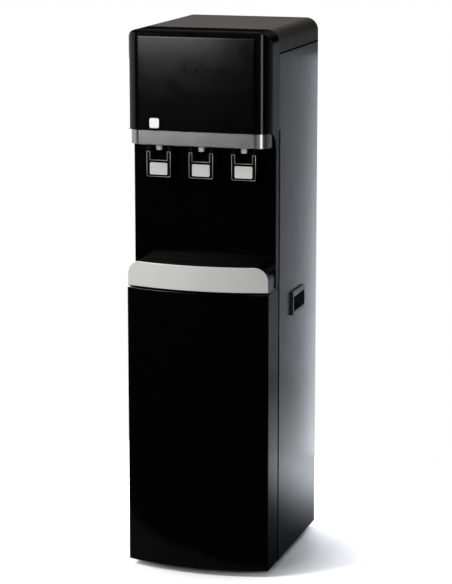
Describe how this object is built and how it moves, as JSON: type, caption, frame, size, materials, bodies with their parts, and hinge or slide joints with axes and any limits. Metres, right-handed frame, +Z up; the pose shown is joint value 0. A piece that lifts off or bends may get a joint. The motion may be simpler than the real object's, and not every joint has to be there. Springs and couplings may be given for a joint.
{
  "type": "water dispenser",
  "caption": "Tall floor-standing water dispenser with lever taps over a drip tray, a bowed service door below, side grips and a rear condenser; plumbed in at the back.",
  "frame": {"origin": "on the floor, under the middle of the bounding box", "axes": "+Z up, the front with the taps faces -Y, +X to the right seen from the front"},
  "size_m": [0.309, 0.395, 1.117],
  "materials": {
    "black_gloss": "high gloss moulded black",
    "black_satin": "satin black moulding",
    "lid_black": "matte brown-black top",
    "side_paint": "satin dark grey coated sheet steel",
    "inner_sheet": "grey coated sheet steel",
    "silver_trim": "silver lacquered moulding",
    "silver_pad": "silver lacquered pad",
    "ivory": "ivory moulding",
    "white_button": "white moulding",
    "rubber": "black rubber",
    "steel": "plain steel",
    "board": "green circuit board",
    "lens": "smoked lens",
    "tube": "milky silicone tube",
    "filter_white": "white cartridge",
    "foam": "white insulation",
    "coolant_black": "black enamelled steel",
    "fitting": "off-white fitting"
  },
  "bodies": {
    "cabinet": {"base_plate": "inner_sheet", "feet": "rubber", "left_side_panel": "side_paint", "right_side_panel": "side_paint", "left_grip_cup": "black_satin", "right_grip_cup": "black_satin", "back_panel": "side_paint", "service_plate": "side_paint", "panel_screws": "steel", "lid": "lid_black", "hood": "black_gloss", "tap_housing": "black_satin", "trim_strip": "silver_trim", "niche_panel": "black_gloss", "left_niche_cheek": "black_satin", "right_niche_cheek": "black_satin", "tray_shelf": "black_satin", "bay_partition": "inner_sheet", "upper_shelf": "inner_sheet", "lower_hinge_bracket": "steel", "hinge_pins": "steel", "door_magnet": "rubber", "control_board": "board", "indicator_lights": "lens", "filter_manifold": "fitting", "cold_tank": "steel", "cold_tank_foam": "foam", "hot_tank": "foam", "compressor": "coolant_black", "condenser_tube": "coolant_black", "condenser_wires": "coolant_black", "water_inlet": "fitting", "cord_gland": "rubber", "hot_valve": "black_satin", "hot_nozzle": "ivory", "hot_pivot_pin": "steel", "hot_tube": "tube", "ambient_valve": "black_satin", "ambient_nozzle": "ivory", "ambient_pivot_pin": "steel", "ambient_tube": "tube", "cold_valve": "black_satin", "cold_nozzle": "ivory", "cold_pivot_pin": "steel", "cold_tube": "tube"},
    "service_door": {"door": "black_gloss", "door_strike": "steel"},
    "tray": {"drip_tray": "black_satin", "tray_fascia": "silver_trim"},
    "grille": {"drip_grille": "black_satin"},
    "hot_paddle": {"hot_lever": "black_gloss", "hot_lever_pad": "silver_pad"},
    "ambient_paddle": {"ambient_lever": "black_gloss", "ambient_lever_pad": "silver_pad"},
    "cold_paddle": {"cold_lever": "black_gloss", "cold_lever_pad": "silver_pad"},
    "hot_lock": {"lock_button": "white_button"},
    "sediment_cartridge": {"sediment_filter": "filter_white"},
    "carbon_cartridge": {"carbon_filter": "filter_white"},
    "membrane_cartridge": {"membrane_filter": "filter_white"}
  },
  "joints": [
    {"name": "door_hinge", "type": "hinge", "parent": "cabinet", "child": "service_door", "pos_m": [-0.144, -0.1143, 0.3], "axis": [0, 0, -1], "range_deg": [0, 110]},
    {"name": "tray_pull", "type": "slide", "parent": "cabinet", "child": "tray", "axis": [0, -1, 0], "range_m": [0, 0.11]},
    {"name": "grille_lift", "type": "slide", "parent": "tray", "child": "grille", "axis": [0, 0, 1], "range_m": [0, 0.04]},
    {"name": "lock_press", "type": "slide", "parent": "cabinet", "child": "hot_lock", "axis": [0, 1, 0], "range_m": [0, 0.002], "stiffness_N_per_m": 400},
    {"name": "hot_paddle_push", "type": "hinge", "parent": "cabinet", "child": "hot_paddle", "pos_m": [-0.0895, -0.1455, 0.895], "axis": [1, 0, 0], "range_deg": [0, 10], "stiffness_Nm_per_rad": 1.5},
    {"name": "ambient_paddle_push", "type": "hinge", "parent": "cabinet", "child": "ambient_paddle", "pos_m": [0, -0.1455, 0.895], "axis": [1, 0, 0], "range_deg": [0, 10], "stiffness_Nm_per_rad": 1.5},
    {"name": "cold_paddle_push", "type": "hinge", "parent": "cabinet", "child": "cold_paddle", "pos_m": [0.0895, -0.1455, 0.895], "axis": [1, 0, 0], "range_deg": [0, 10], "stiffness_Nm_per_rad": 1.5},
    {"name": "sediment_twist", "type": "hinge", "parent": "cabinet", "child": "sediment_cartridge", "pos_m": [-0.088, -0.0571, 0.4], "axis": [0, 0, 1], "range_deg": [0, 90]},
    {"name": "carbon_twist", "type": "hinge", "parent": "cabinet", "child": "carbon_cartridge", "pos_m": [0, -0.0571, 0.4], "axis": [0, 0, 1], "range_deg": [0, 90]},
    {"name": "membrane_twist", "type": "hinge", "parent": "cabinet", "child": "membrane_cartridge", "pos_m": [0.088, -0.0571, 0.4], "axis": [0, 0, 1], "range_deg": [0, 90]}
  ]
}
